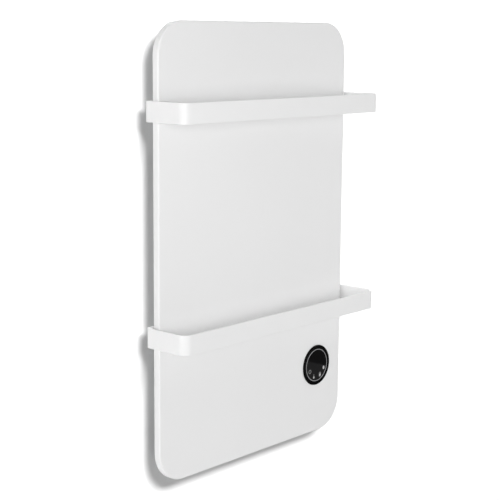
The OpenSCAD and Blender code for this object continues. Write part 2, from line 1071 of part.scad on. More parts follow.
module board_screws() {
    color("silver")
        stand()
            for (p = standoff_places)
                translate([p[0], p[1], pcb_z])
                    pan_screw(1.1, 2.8, 1.8, pcb_t + 3.5);
}

// A block that stands on the power board and reaches towards the wall
module on_board(dx, dy, w, l, h) {
    stand()
        translate([pcb_x + dx - w / 2, pcb_y + dy - l / 2, pcb_z - h])
            cube([w, l, h]);
}

module relay() {
    color("navy")
        on_board(-24, -32, 20, 16, 12.5);
}

module transformer() {
    color("gold")
        on_board(16, -28, 32, 26, 12);
}

module capacitors() {
    color("darkslateblue")
        stand()
            for (k = [0 : 1])
                translate([pcb_x + 26 - 15 * k, pcb_y + 6, pcb_z - 12])
                    cylinder(r = 5, h = 12);
}

connector_w = 32;
connector_l = 9;
connector_h = 9;
connector_x = pcb_x + 8;
connector_y = pcb_y + pcb_l / 2 - 12;
connector_pitch = 7;
connector_n = 4;

function pole_x(k) = connector_x + connector_pitch * (k - (connector_n - 1) / 2);

module lead_connector() {
    color("green")
        stand()
            difference() {
                translate([connector_x - connector_w / 2, connector_y - connector_l / 2, pcb_z - connector_h])
                    cube([connector_w, connector_l, connector_h]);
                for (k = [0 : connector_n - 1])
                    translate([pole_x(k), connector_y, pcb_z - connector_h - past])
                        cylinder(r = 1.5, h = 3 + past);
            }
}

ribbon_connector_h = 4;
ribbon_connector_x = pcb_x + pcb_w / 2 - 8;

module ribbon_connector() {
    color("white")
        stand()
            translate([
                ribbon_connector_x - 2.5,
                control_y + ribbon_y - ribbon_w / 2 - 2,
                pcb_z - ribbon_connector_h
            ])
                cube([5, ribbon_w + 4, ribbon_connector_h]);
}

terminal_pitch = 13;

// Three-pole block with screw wells on top and wire entries at both sides
module terminal_block() {
    top_z = wall_gap - terminal_h;
    color("ivory")
        stand()
            difference() {
                translate([terminal_x - terminal_w / 2, terminal_y - terminal_l / 2, top_z])
                    cube([terminal_w, terminal_l, terminal_h]);
                for (k = [-1 : 1])
                    translate([terminal_x + terminal_pitch * k, terminal_y, 0]) {
                        for (s = [-1, 1])
                            translate([0, s * 4.5, top_z - past])
                                cylinder(r = 2, h = 5 + past);
                        for (s = [-1, 1])
                            translate([0, s * (terminal_l / 2 - 2), gland_z + 3])
                                rotate([90, 0, 0])
                                    cylinder(r = 1.8, h = 6, center = true);
                    }
            }
}

module earth_stud() {
    color("silver")
        stand()
            translate([earth_x, earth_y, 0]) {
                translate([0, 0, wall_gap - 11])
                    cylinder(r = 2, h = 11 + cover_t);
                translate([0, 0, cover_z])
                    cylinder(r = 3.5, h = 1.2);
                translate([0, 0, wall_gap - 6])
                    cylinder(r = 4, h = 3, $fn = 6);
                translate([0, 0, wall_gap - 3])
                    cylinder(r = 4.5, h = 3);
            }
}

// Cord inlet through the box's lower side: thread inside, hexagon and round cap outside
module cable_gland() {
    color("dimgrey")
        stand()
            translate([gland_x, box_bottom, gland_z])
                rotate([90, 0, 0])
                    difference() {
                        union() {
                            translate([0, 0, -gland_thread_l])
                                cylinder(r = gland_r, h = gland_thread_l);
                            cylinder(r = gland_af / 2 / cos(30), h = gland_body_l, $fn = 6);
                            translate([0, 0, gland_body_l])
                                cylinder(r = gland_af / 2 - 0.5, h = gland_cap_l - 3);
                            translate([0, 0, gland_body_l + gland_cap_l - 3])
                                cylinder(r1 = gland_af / 2 - 0.5, r2 = gland_af / 2 - 2.5, h = 3);
                        }
                        translate([0, 0, -gland_thread_l - past])
                            cylinder(r = cord_r, h = gland_thread_l + gland_body_l + gland_cap_l + 2 * past);
                    }
}

module gland_locknut() {
    color("dimgrey")
        stand()
            translate([gland_x, box_bottom + cover_t, gland_z])
                rotate([-90, 0, 0])
                    difference() {
                        cylinder(r = (gland_af - 1) / 2 / cos(30), h = 4, $fn = 6);
                        translate([0, 0, -past])
                            cylinder(r = gland_r + slide_gap / 2, h = 4 + 2 * past);
                    }
}

// Rubber ring that guards the leads where they pass through the rear cover
module lead_grommet() {
    color("black")
        stand()
            translate([grommet_x, grommet_y, wall_gap])
                rotate_extrude()
                    polygon([
                        [4, -2], [grommet_r + 2, -2], [grommet_r + 2, 0], [grommet_r, 0],
                        [grommet_r, cover_t], [grommet_r + 2, cover_t],
                        [grommet_r + 2, cover_t + 2], [4, cover_t + 2]
                    ]);
}

lead_z = board_z + 1.5;
lead_row = stack_bottom - 9;
blade_z = film2_z - cutout_h - blade_h + 1.2;
blade_side = 4.5 + blade_t / 2 + lead_r + slide_gap;
tab_solder_z = sheet_z - lead_r;
over_leads_z = film2_z - 1.4;
pole_z = pcb_z - connector_h + 2;
over_connector_z = box_z + cover_t + 2.8;
blade_run = 16;
live_run = 30;
tab_run = 25;
sensor_run = 12;
supply_in = 10;

// From a pole of the connector, up, and through the grommet to the space inside the panel
function through_grommet(k, dx, dy) = [
    [pole_x(k), connector_y, pole_z],
    [pole_x(k), connector_y, over_connector_z],
    [pole_x(k), connector_y + 9, over_connector_z],
    [grommet_x + dx, grommet_y + dy, wall_gap - 16],
    [grommet_x + dx, grommet_y + dy, wall_gap - 9],
    [grommet_x + dx, grommet_y + dy, cover_z + 6]
];

module live_lead() {
    color("saddlebrown")
        stand()
            lead(
                concat(
                    through_grommet(0, -2, 0.8),
                    [
                        [grommet_x - 8, lead_row - 4, lead_z],
                        [-cutout_x + live_run, lead_row - 3, lead_z],
                        [-cutout_x + blade_side, lead_row, lead_z],
                        [-cutout_x + blade_side, cutout_y - blade_run, blade_z],
                        [-cutout_x + blade_side, cutout_y + 1, blade_z]
                    ]
                ),
                lead_r
            );
}

module link_lead() {
    color("saddlebrown")
        stand()
            lead(
                [
                    [-cutout_x - blade_side, cutout_y + 1, blade_z],
                    [-cutout_x - blade_side, cutout_y - blade_run, blade_z],
                    [-cutout_x - blade_side - 4, lead_row + 2, lead_z],
                    [-tab_x + tab_run, lead_row - 2, lead_z],
                    [-tab_x + 6, tab_y + 3, tab_solder_z],
                    [-tab_x - 2, tab_y + 3, tab_solder_z]
                ],
                lead_r
            );
}

// The return runs by way of the second cut-out to the other busbar
module return_lead() {
    color("steelblue")
        stand() {
            lead(
                concat(
                    through_grommet(2, 2, 0.8),
                    [
                        [grommet_x + 6, lead_row - 5, lead_z],
                        [cutout_x - blade_side, lead_row, lead_z],
                        [cutout_x - blade_side, cutout_y - blade_run, blade_z],
                        [cutout_x - blade_side, cutout_y + 1, blade_z]
                    ]
                ),
                lead_r
            );
            lead(
                [
                    [cutout_x + blade_side, cutout_y + 1, blade_z],
                    [cutout_x + blade_side, cutout_y - blade_run, blade_z],
                    [cutout_x + blade_side + 4, lead_row + 2, lead_z],
                    [tab_x - tab_run, lead_row - 2, lead_z],
                    [tab_x - 6, tab_y + 3, tab_solder_z],
                    [tab_x + 2, tab_y + 3, tab_solder_z]
                ],
                lead_r
            );
        }
}

module sensor_lead() {
    color("dimgrey")
        stand()
            lead(
                concat(
                    through_grommet(1, 0, -2.4),
                    [
                        [grommet_x - 4, grommet_y, over_leads_z],
                        [grommet_x - 8, lead_row + 1, over_leads_z],
                        [sensor_x + sensor_run, lead_row, over_leads_z],
                        [sensor_x, lead_row, over_leads_z],
                        [sensor_x, sensor_y - sensor_run, over_leads_z],
                        [sensor_x, sensor_y - 8, film2_z - 2.8],
                        [sensor_x, sensor_y - 2.1, film2_z - 2.8]
                    ]
                ),
                sensor_lead_r
            );
}

// Two leads from the terminal block to the power board
module supply_leads() {
    entry_y = terminal_y + terminal_l / 2;
    board_x = pcb_x + pcb_w / 2 - supply_in;
    color("saddlebrown")
        stand()
            for (k = [0, 1])
                lead(
                    [
                        [terminal_x - terminal_pitch * k, entry_y - 1.5, gland_z + 3],
                        [terminal_x - terminal_pitch * k, entry_y + 9 - 5 * k, gland_z + 3],
                        [board_x + 36 - 6 * k, entry_y + 9 - 5 * k, gland_z],
                        [board_x + 14 - 3 * k, entry_y + 5 - 8 * k, gland_z],
                        [board_x, entry_y - 4 - 8 * k, gland_z],
                        [board_x, entry_y - 4 - 8 * k, pcb_z]
                    ],
                    lead_r
                );
}

module earth_lead() {
    entry_y = terminal_y - terminal_l / 2 - 1;
    color("yellowgreen")
        stand()
            lead(
                [
                    [terminal_x - terminal_pitch, entry_y + 2, gland_z + 3],
                    [terminal_x - terminal_pitch, entry_y - 5, gland_z + 3],
                    [earth_x + 12, earth_y + 1, wall_gap - 5],
                    [earth_x + 5.6, earth_y, wall_gap - 1.6]
                ],
                lead_r
            );
}

// Flat cable from the display board, out of the body's side slot, down to its connector
module display_cable() {
    high = display_board_z;
    low = body_back_z + body_wall + 2;
    start_x = control_x - 20;
    end_z = pcb_z - ribbon_connector_h;
    color("lightgrey")
        stand()
            translate([0, control_y + ribbon_y, 0])
                along_y(ribbon_w)
                    bent_strip(
                        [
                            [start_x, high], [start_x, low],
                            [ribbon_connector_x, low], [ribbon_connector_x, end_z]
                        ],
                        [2, 2],
                        ribbon_t
                    );
}

upper_wall_rail();
lower_wall_rail();
front_panel();
rear_cover();
rear_cover_screws();
upper_towel_bar();
lower_towel_bar();
upper_bar_screws();
lower_bar_screws();
bar_nut_plates();
upper_hooks();
lower_hooks();
hook_rivets();
hook_backing_plates();
wall_spacers();
front_insulating_sheet();
heating_sheet();
busbars();
rear_insulating_sheet();
reflector_foil();
insulation_board();
thermal_cutouts();
panel_sensor();
control_housing();
control_gasket();
control_nut();
control_bezel();
control_trim_ring();
control_glass();
display_board();
display_module();
touch_pads();
electronics_cover();
electronics_cover_screws();
power_board();
board_standoffs();
board_screws();
relay();
transformer();
capacitors();
lead_connector();
ribbon_connector();
terminal_block();
earth_stud();
cable_gland();
gland_locknut();
lead_grommet();
live_lead();
link_lead();
return_lead();
sensor_lead();
supply_leads();
earth_lead();
display_cable();
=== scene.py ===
"""An infrared panel heater on its wall rails: a white pressed panel, two flat-strip towel bars and a
round touch control. X runs to the right, Z up, and the wall is the plane Y = 0. Sizes are in metres."""

import math

import bmesh
import bpy
import numpy as np
from mathutils import Matrix, Vector


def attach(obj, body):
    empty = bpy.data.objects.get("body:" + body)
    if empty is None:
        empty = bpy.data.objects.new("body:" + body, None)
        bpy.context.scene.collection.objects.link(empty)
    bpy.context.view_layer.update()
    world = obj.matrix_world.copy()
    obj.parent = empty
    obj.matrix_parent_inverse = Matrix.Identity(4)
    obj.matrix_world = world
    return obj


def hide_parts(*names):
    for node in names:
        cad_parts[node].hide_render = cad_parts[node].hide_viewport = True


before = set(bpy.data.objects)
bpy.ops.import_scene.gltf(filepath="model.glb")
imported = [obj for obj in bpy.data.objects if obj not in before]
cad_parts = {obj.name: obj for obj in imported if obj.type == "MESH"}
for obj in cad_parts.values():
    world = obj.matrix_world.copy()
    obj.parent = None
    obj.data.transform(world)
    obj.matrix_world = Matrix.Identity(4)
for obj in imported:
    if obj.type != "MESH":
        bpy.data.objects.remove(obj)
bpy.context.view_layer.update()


# ---- View -----------------------------------------------------------------------------------
# The camera stands 2.3 m from the panel, to its left and a little above its middle. Its place,
# turn, lens and small shift were fitted to the outlines of the panel, the bars and the control.
eye = Vector((-1.6621, -1.5214, 0.3768))
yaw, pitch, roll = 0.837705, 0.163806, -0.0078953
frame_px, lens_px, shift_px, sensor_mm = 500, 1230.3, -12.0, 36
ahead = Vector((math.sin(yaw) * math.cos(pitch), math.cos(yaw) * math.cos(pitch), -math.sin(pitch)))
level = Vector((math.cos(yaw), -math.sin(yaw), 0))
down = ahead.cross(level)
across = math.cos(roll) * level + math.sin(roll) * down
up = math.sin(roll) * level - math.cos(roll) * down
camera = bpy.data.objects.new("camera", bpy.data.cameras.new("camera"))
bpy.context.scene.collection.objects.link(camera)
camera.data.sensor_width = sensor_mm
camera.data.lens = lens_px / frame_px * sensor_mm
camera.data.shift_y = shift_px / frame_px
camera.data.clip_end = 50
camera.matrix_world = Matrix.Translation(eye) @ Matrix((across, up, -ahead)).transposed().to_4x4()
bpy.context.scene.camera = camera


# ---- Wall rails -----------------------------------------------------------------------------
# Two rails folded from galvanised sheet, each screwed to the wall through two slots. The zinc
# shows faint crystals of a few millimetres, each with its own gloss.
class Wire:
    """An output socket of a shader node. Arithmetic on it adds Math nodes, and node() adds any other."""

    def __init__(self, tree, socket=None):
        self.tree, self.socket = tree, socket

    def node(self, kind, settings=None, inputs=None, out=0):
        """Adds a node: its settings are set first, then each input gets its number, colour or wire."""
        made = self.tree.nodes.new("ShaderNode" + kind)
        for name, value in (settings or {}).items():
            setattr(made, name, value)
        for name, value in (inputs or {}).items():
            if isinstance(value, Wire):
                self.tree.links.new(value.socket, made.inputs[name])
            else:
                made.inputs[name].default_value = value
        return Wire(self.tree, made.outputs[out] if made.outputs else None)

    def math(self, operation, *others):
        """This wire and the others, wires or numbers, put through one operation."""
        return self.node("Math", {"operation": operation}, dict(enumerate((self, *others))))

    def __add__(self, other):
        return self.math("ADD", other)

    def __sub__(self, other):
        return self.math("SUBTRACT", other)

    def __rsub__(self, other):
        return self.node("Math", {"operation": "SUBTRACT"}, {0: other, 1: self})

    def __mul__(self, other):
        return self.math("MULTIPLY", other)

    def __pow__(self, other):
        return self.math("POWER", other)

    def __abs__(self):
        return self.math("ABSOLUTE")

    __radd__, __rmul__ = __add__, __mul__

    def colours(self, low, high):
        """Spreads 0 to 1 over two colours."""
        low, high = [c if isinstance(c, Wire) else (*c, 1) for c in (low, high)]
        return self.node("Mix", {"data_type": "RGBA"}, {0: self, 6: low, 7: high}, out=2)

    def noise(self, lumps, detail=2.0, drawn=(1, 1, 1)):
        """Noise with this many lumps to the metre, each axis drawn by its own share."""
        spread = self.node("Mapping", {}, {"Vector": self, "Scale": drawn})
        return self.node("TexNoise", {}, {"Vector": spread, "Scale": lumps, "Detail": detail})

    def bump(self, depth):
        """The normal of a surface whose height is this wire times depth, in metres."""
        return self.node("Bump", {}, {"Height": self, "Distance": depth})


def start(name):
    """A new material, and the wire that carries the place on the piece in metres."""
    made = bpy.data.materials.new(name)
    made.use_nodes = True
    made.node_tree.nodes.clear()
    return made, Wire(made.node_tree).node("TexCoord", out="Object")


def coat(place, colour, roughness, metallic=0.0, **more):
    """Ends a material in one shader. A number is set on the shader's own socket, a wire is linked."""
    inputs = {"Base Color": colour, "Roughness": roughness, "Metallic": metallic}
    inputs.update({name.replace("_", " "): value for name, value in more.items()})
    inputs = {name: (*v, 1) if isinstance(v, tuple) else v for name, v in inputs.items()}
    place.node("OutputMaterial", {}, {"Surface": place.node("BsdfPrincipled", {}, inputs)})


def wear(made, *names):
    """Puts a material on these CAD nodes."""
    for name in names:
        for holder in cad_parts[name].material_slots:
            holder.material = made


def fit(piece, made, body="heater", node=None):
    """Gives a new piece its material and its body, and hides the CAD node it stands for."""
    piece.data.materials.clear()
    piece.data.materials.append(made)
    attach(piece, body)
    if node:
        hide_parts(node)
    return piece


def eased(node, width, made, body="heater", steps=2):
    """A copy of the node with its triangles joined into faces and its sharp edges rounded by width.
    Its normals are weighed by area, so that a flat face shades flat up to the rounding."""
    piece = bpy.data.objects.new(node + "_finished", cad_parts[node].data.copy())
    bpy.context.scene.collection.objects.link(piece)
    shape = bmesh.new()
    shape.from_mesh(piece.data)
    same_place, same_plane, sharp = 2e-6, 0.01, math.radians(32)
    bmesh.ops.remove_doubles(shape, verts=shape.verts, dist=same_place)
    bmesh.ops.dissolve_limit(shape, angle_limit=same_plane, verts=shape.verts, edges=shape.edges)
    shape.to_mesh(piece.data)
    shape.free()
    piece.data.polygons.foreach_set("use_smooth", [True] * len(piece.data.polygons))
    edge = piece.modifiers.new("edges", "BEVEL")
    edge.width, edge.segments = width, steps
    edge.limit_method, edge.angle_limit, edge.use_clamp_overlap = "ANGLE", sharp, True
    shading = piece.modifiers.new("flat_faces", "WEIGHTED_NORMAL")
    shading.mode, shading.weight = "FACE_AREA", 100
    return fit(piece, made, body, node)


zinc_sheet, place = start("galvanised_sheet")
crystals = place.node("TexVoronoi", {}, {"Vector": place, "Scale": 240.0}, out="Color")
tone = place.node("SeparateColor", {}, {"Color": crystals})
frost = place.noise(1600.0)
coat(
    place,
    colour=tone.colours((0.61, 0.62, 0.63), (0.71, 0.72, 0.73)),
    roughness=tone * 0.08 + frost * 0.1 + 0.32,
    metallic=0.85,
    Normal=frost.bump(0.00003),
)
eased("upper_wall_rail", 0.0003, zinc_sheet, "wall_rails")
eased("lower_wall_rail", 0.0003, zinc_sheet, "wall_rails")


# ---- Hooks ----------------------------------------------------------------------------------
# Four hooks of the same sheet hang over the rails' lips. Each is held to the rear cover by two
# rivets, with a backing plate on the inside.
eased("upper_hooks", 0.0003, zinc_sheet)
eased("lower_hooks", 0.0003, zinc_sheet)
wear(zinc_sheet, "hook_backing_plates", "bar_nut_plates")

plated_steel, place = start("plated_steel")
dull = place.noise(900.0, 4.0)
coat(
    place,
    colour=dull.colours((0.50, 0.51, 0.53), (0.68, 0.68, 0.68)),
    roughness=dull * 0.22 + 0.22,
    metallic=1.0,
    Normal=place.noise(3000.0).bump(0.00001),
)
eased("hook_rivets", 0.0002, plated_steel)


# ---- Rear cover -----------------------------------------------------------------------------
# The back is one thin sheet with pressed stiffening ribs, screwed to the panel's lip. It has a
# matt pale grey coat with a fine sandy texture.
cover_coat, place = start("sanded_cover_coat")
sand = place.noise(1800.0, 3.0)
cloud = place.noise(6.0, 3.0)
coat(
    place,
    colour=(sand * 0.5 + cloud * 0.5).colours((0.58, 0.59, 0.59), (0.68, 0.69, 0.69)),
    roughness=sand * 0.12 + 0.46,
    Normal=sand.bump(0.00006),
)
eased("rear_cover", 0.00035, cover_coat)
eased("rear_cover_screws", 0.00025, plated_steel)


# ---- Heating stack --------------------------------------------------------------------------
# Behind the front lie a film, the carbon sheet with its two copper busbars, a second film, a
# sheet of foil and a fibre board. Two cut-outs and a sensor sit in notches of the foil and board.
film, place = start("insulating_film")
ripple = place.noise(30.0, 2.0)
coat(
    place,
    colour=ripple.colours((0.60, 0.60, 0.56), (0.72, 0.72, 0.68)),
    roughness=ripple * 0.1 + 0.22,
    Normal=ripple.bump(0.0004),
)
wear(film, "front_insulating_sheet", "rear_insulating_sheet")

carbon, place = start("carbon_layer")
fibres = place.noise(260.0, 4.0, (1.0, 1.0, 9.0)) * 0.5 + place.noise(260.0, 4.0, (9.0, 1.0, 1.0)) * 0.5
coat(
    place,
    colour=fibres.colours((0.012, 0.012, 0.013), (0.075, 0.075, 0.08)),
    roughness=fibres * 0.3 + 0.4,
    Normal=fibres.bump(0.00008),
)
wear(carbon, "heating_sheet")

copper, place = start("copper_strip")
tarnish = place.noise(45.0, 4.0)
rolled = place.noise(500.0, 2.0, (1.0, 1.0, 0.03))
coat(
    place,
    colour=tarnish.colours((0.46, 0.20, 0.12), (0.80, 0.42, 0.28)),
    roughness=tarnish * 0.15 + rolled * 0.15 + 0.2,
    metallic=1.0,
    Normal=rolled.bump(0.00002),
)
wear(copper, "busbars")

foil, place = start("bright_foil")
creases = place.node("TexVoronoi", {"feature": "DISTANCE_TO_EDGE"}, {"Vector": place, "Scale": 55.0})
coat(
    place,
    colour=place.noise(20.0).colours((0.72, 0.73, 0.74), (0.86, 0.86, 0.86)),
    roughness=place.noise(200.0) * 0.2 + 0.16,
    metallic=1.0,
    Normal=creases.bump(0.0008),
)
wear(foil, "reflector_foil")

fibre_board, place = start("pressed_fibre")
wool = place.noise(420.0, 5.0, (1.0, 1.0, 0.2)) * 0.6 + place.noise(420.0, 5.0, (0.2, 1.0, 1.0)) * 0.4
coat(
    place,
    colour=wool.colours((0.50, 0.46, 0.36), (0.80, 0.77, 0.68)),
    roughness=wool * 0.1 + 0.86,
    Normal=wool.bump(0.0005),
)
wear(fibre_board, "insulation_board")

bright_cap, place = start("pressed_nickel_cap")
drawn_lines = place.noise(700.0, 2.0, (1.0, 0.05, 1.0))
coat(
    place,
    colour=drawn_lines.colours((0.55, 0.54, 0.51), (0.72, 0.71, 0.68)),
    roughness=drawn_lines * 0.2 + 0.22,
    metallic=1.0,
)
wear(bright_cap, "thermal_cutouts", "touch_pads")

black_plastic, place = start("grained_black")
grain = place.noise(2200.0, 3.0)
coat(
    place,
    colour=grain.colours((0.014, 0.014, 0.015), (0.028, 0.028, 0.03)),
    roughness=grain * 0.15 + 0.42,
    Normal=grain.bump(0.00004),
)
wear(black_plastic, "panel_sensor")


# ---- Front panel ----------------------------------------------------------------------------
# One sheet of steel, pressed: a flat face with a round hole for the control, a radiused edge, a
# short side wall, and a lip turned in behind. It has a white satin powder coat with a faint
# orange-peel texture.
panel_w, panel_h, panel_r, edge_r, sheet = 0.500, 0.800, 0.058, 0.003, 0.0012
panel_front, panel_back, rear_r, lip = 0.0438, 0.0298, 0.002, 0.012
control_at, control_hole = np.array((0.176, -0.265)), 0.0349


def skin(name, rings, closed=False):
    """A closed surface through rings of points, an array of (ring, point, xyz). Ring i joins ring
    i + 1 in four-sided faces, and the last joins the first if closed. Otherwise a face fills each end."""
    count, size = rings.shape[:2]
    here = np.arange(count if closed else count - 1)[:, None] * size + np.arange(size)
    beside = np.roll(here, -1, axis=1)
    faces = np.stack((here, beside, beside + size, here + size), axis=-1) % (count * size)
    faces = faces.reshape(-1, 4).tolist()
    if not closed:
        faces += [list(range(size)), list(range((count - 1) * size, count * size))]
    mesh = bpy.data.meshes.new(name)
    mesh.from_pydata(rings.reshape(-1, 3).tolist(), [], faces)
    shape = bmesh.new()
    shape.from_mesh(mesh)
    bmesh.ops.recalc_face_normals(shape, faces=shape.faces)
    shape.to_mesh(mesh)
    shape.free()
    mesh.polygons.foreach_set("use_smooth", [True] * len(mesh.polygons))
    bend = math.radians(35)
    mesh.set_sharp_from_angle(angle=bend)
    piece = bpy.data.objects.new(name, mesh)
    bpy.context.scene.collection.objects.link(piece)
    return piece


def arc(centre, radius, first, last, steps):
    """Points on a circle about centre, from one angle to the other in degrees, both ends included."""
    turn = np.radians(np.linspace(first, last, steps + 1))
    return np.stack((centre[0] + radius * np.cos(turn), centre[1] + radius * np.sin(turn)), axis=-1)


def standing(x, height, z):
    """Points from their X, their height above the wall and their Z."""
    x, height, z = np.broadcast_arrays(x, height, z)
    return np.stack((x, -height, z), axis=-1)


def panel_outline(corner_steps=18, width_steps=48, height_steps=88):
    """For each point of a rectangle with round corners: the centre of its curve, which on a straight
    side slides from one corner's centre to the next, and the direction outwards."""
    half = np.array((panel_w, panel_h)) / 2 - panel_r
    corners = np.array(((1, 1), (-1, 1), (-1, -1), (1, -1))) * half
    centres, outwards = [], []
    for k, steps in enumerate((width_steps, height_steps) * 2):
        outward = arc((0, 0), 1, 90 * k, 90 * k + 90, corner_steps)
        slide = np.linspace(0, 1, steps + 1)[1:-1, None]
        here, following = corners[k], corners[(k + 1) % 4]
        centres += [np.tile(here, (len(outward), 1)), here * (1 - slide) + following * slide]
        outwards += [outward, np.tile(outward[-1], (len(slide), 1))]
    return np.concatenate(centres), np.concatenate(outwards)


def panel_section():
    """Inset from the outline and height above the wall, once round the sheet's thickness: face, edge,
    side wall, rear bend and lip outside, then the same a sheet's thickness inside. Each bend is an
    arc, with a point beside it on either flat."""
    edge, rear = (edge_r, panel_front - edge_r), (rear_r, panel_back + rear_r)
    face, beside, rim, inside = edge_r + 0.0008, 0.0005, 0.0002, panel_back + sheet
    return np.concatenate((
        [(face, panel_front)],
        arc(edge, edge_r, 90, 180, 12),
        [(0, edge[1] - beside), (0, rear[1] + beside)],
        arc(rear, rear_r, 180, 270, 8),
        [(rear_r + beside, panel_back), (lip - rim, panel_back), (lip, panel_back + rim)],
        [(lip, inside - rim), (lip - rim, inside), (rear_r + beside, inside)],
        arc(rear, rear_r - sheet, 270, 180, 6),
        [(sheet, rear[1] + beside), (sheet, edge[1] - beside)],
        arc(edge, edge_r - sheet, 180, 90, 8),
        [(face, panel_front - sheet)],
    ))


# Each ring is the outline drawn in by its inset. The last two lie on the hole's edge, in line with
# the points of the face's first ring.
centres, outwards = panel_outline()
inset, height = panel_section().T
flat = centres[None] + outwards[None] * (panel_r - inset)[:, None, None]
rings = standing(flat[..., 0], height[:, None], flat[..., 1])
from_hole = flat[0] - control_at
hole = control_at + control_hole * from_hole / np.linalg.norm(from_hole, axis=1, keepdims=True)
hole_rings = [standing(hole[:, 0], h, hole[:, 1]) for h in (panel_front - sheet, panel_front)]
front = skin("pressed_front", np.concatenate((rings, hole_rings)), closed=True)

white_coat, place = start("white_satin_coat")
peel = place.noise(750.0, 2.0)
drift = place.noise(4.0, 2.0)
coat(
    place,
    colour=drift.colours((0.845, 0.845, 0.845), (0.865, 0.865, 0.865)),
    roughness=peel * 0.08 + 0.34,
    Normal=peel.bump(0.00002),
)
fit(front, white_coat, node="front_panel")


# ---- Towel bars -----------------------------------------------------------------------------
# Each bar is one flat steel strip, bent round the panel's sides and turned in behind it, where
# two screws hold each end through the rear cover. It has the panel's own white coat.
bar_tall, bar_thick, bar_wide, bar_edge = 0.035, 0.003, 0.526, 0.0006
bar_out, bar_in, front_bend, rear_bend, tail = 0.1188, 0.026, 0.016, 0.0045, 0.042
upper_bar_z, lower_bar_z = 0.250, -0.134


def bar_line():
    """The strip's middle line seen from above, as points (x, height) and the directions across it:
    tail, bend, return, bend, and half of the front run, then the same mirrored. The bends are arcs,
    with a point beside each on either straight."""
    half, beside = bar_wide / 2, 0.0006
    rear, rear_line = (rear_bend - half, bar_in + rear_bend), rear_bend - bar_thick / 2
    turn, turn_line = (front_bend - half, bar_out - front_bend), front_bend - bar_thick / 2
    points = np.concatenate((
        [(tail - half, rear[1] - rear_line), (rear[0] + beside, rear[1] - rear_line)],
        arc(rear, rear_line, 270, 180, 10),
        [(rear[0] - rear_line, rear[1] + beside), (turn[0] - turn_line, turn[1] - beside)],
        arc(turn, turn_line, 180, 90, 20),
        [(turn[0] + beside, turn[1] + turn_line)],
    ))
    across = np.concatenate((
        [(0, -1)] * 2,
        arc((0, 0), 1, 270, 180, 10),
        [(-1, 0)] * 2,
        arc((0, 0), 1, 180, 90, 20),
        [(0, 1)],
    ))
    flip = np.array((-1, 1))
    return np.concatenate((points, points[::-1] * flip)), np.concatenate((across, across[::-1] * flip))


def strip_section():
    """Distance across the strip and along its width, once round it, with each edge a quarter circle
    and a point beside each on the wide faces."""
    half, beside = bar_thick / 2, 0.0002
    side, end = half - bar_edge, bar_tall / 2 - bar_edge
    edges = [
        arc((across * side, along * end), bar_edge, first, first + 90, 5)
        for across, along, first in ((1, 1, 0), (-1, 1, 90), (-1, -1, 180), (1, -1, 270))
    ]
    return np.concatenate((
        [(half, beside - end), (half, end - beside)], *edges[:2],
        [(-half, end - beside), (-half, beside - end)], *edges[2:],
    ))


def towel_bar(name, middle):
    """The strip's section carried along its middle line, with its width upright about this height."""
    line, across = bar_line()
    out, along = strip_section().T
    plan = line[:, None] + across[:, None] * out[None, :, None]
    return skin(name, standing(plan[..., 0], plan[..., 1], middle + along))


fit(towel_bar("upper_bar_strip", upper_bar_z), white_coat, node="upper_towel_bar")
fit(towel_bar("lower_bar_strip", lower_bar_z), white_coat, node="lower_towel_bar")
eased("upper_bar_screws", 0.0004, plated_steel)
eased("lower_bar_screws", 0.0004, plated_steel)


# ---- Control --------------------------------------------------------------------------------
# A round touch control set in the panel's hole: a gloss black ring with a radiused edge, a thin
# grey ring, and a black glass. The glass has a display above and four keys on an arc below it.
# Below a slanted line the glass is painted a little lighter, a painted reflection, and the key
# symbols glow by emission, a painted glow.
def turned(name, profile, solid=False, steps=128):
    """A profile of (radius, height above the wall) turned round the control's axis. A ring's profile
    closes on itself, and a solid one is filled at both ends."""
    turn = np.radians(np.arange(steps) * 360 / steps)
    radius, height = np.array(profile)[:, :, None].transpose(1, 0, 2)
    x = control_at[0] + radius * np.cos(turn)
    return skin(name, standing(x, height, control_at[1] + radius * np.sin(turn)), closed=not solid)


bezel_foot, bezel_top, bezel_r, bezel_edge, seat = 0.0438, 0.0458, 0.0400, 0.0012, 0.0447
bezel_profile = np.concatenate((
    [(0.0385, seat), (0.0385, bezel_foot + 0.0001), (0.0387, bezel_foot)],
    [(0.0398, bezel_foot), (bezel_r, bezel_foot + 0.0002)],
    arc((bezel_r - bezel_edge, bezel_top - bezel_edge), bezel_edge, 0, 90, 10),
    [(0.0376, bezel_top), (0.0373, bezel_top - 0.00005), (0.0370, bezel_top - 0.00016)],
    [(0.0327, bezel_top - 0.0003), (0.0325, bezel_top - 0.00036), (0.0323, bezel_top - 0.0006)],
    [(0.0323, seat + 0.0001), (0.0324, seat)],
))
gloss_black, place = start("polished_black")
haze = place.noise(60.0, 3.0)
coat(
    place,
    colour=haze.colours((0.001, 0.001, 0.0011), (0.002, 0.002, 0.0022)),
    roughness=haze * 0.06 + 0.06,
    Specular_IOR_Level=0.012,
    Normal=place.noise(200.0).bump(0.000004),
)
fit(turned("gloss_ring", bezel_profile), gloss_black, node="control_bezel")

trim_profile = [
    (0.0310, seat + 0.0001), (0.0310, 0.0457), (0.03106, 0.04584), (0.0312, 0.0459), (0.0314, 0.0459),
    (0.0318, 0.0459), (0.0320, 0.0459), (0.03214, 0.04584), (0.0322, 0.0457), (0.0322, seat + 0.0001),
]
trim_grey, place = start("turned_grey")
lathe = place.noise(900.0, 3.0)
coat(
    place,
    colour=lathe.colours((0.30, 0.30, 0.31), (0.40, 0.40, 0.41)),
    roughness=lathe * 0.12 + 0.26,
    metallic=0.7,
)
fit(turned("grey_ring", trim_profile), trim_grey, node="control_trim_ring")

glass_profile = [
    (0.0305, seat), (0.0309, seat + 0.0002), (0.0309, 0.04550), (0.03086, 0.04562), (0.03078, 0.04568),
    (0.0306, 0.0457), (0.0303, 0.0457), (0.0200, 0.0457),
]
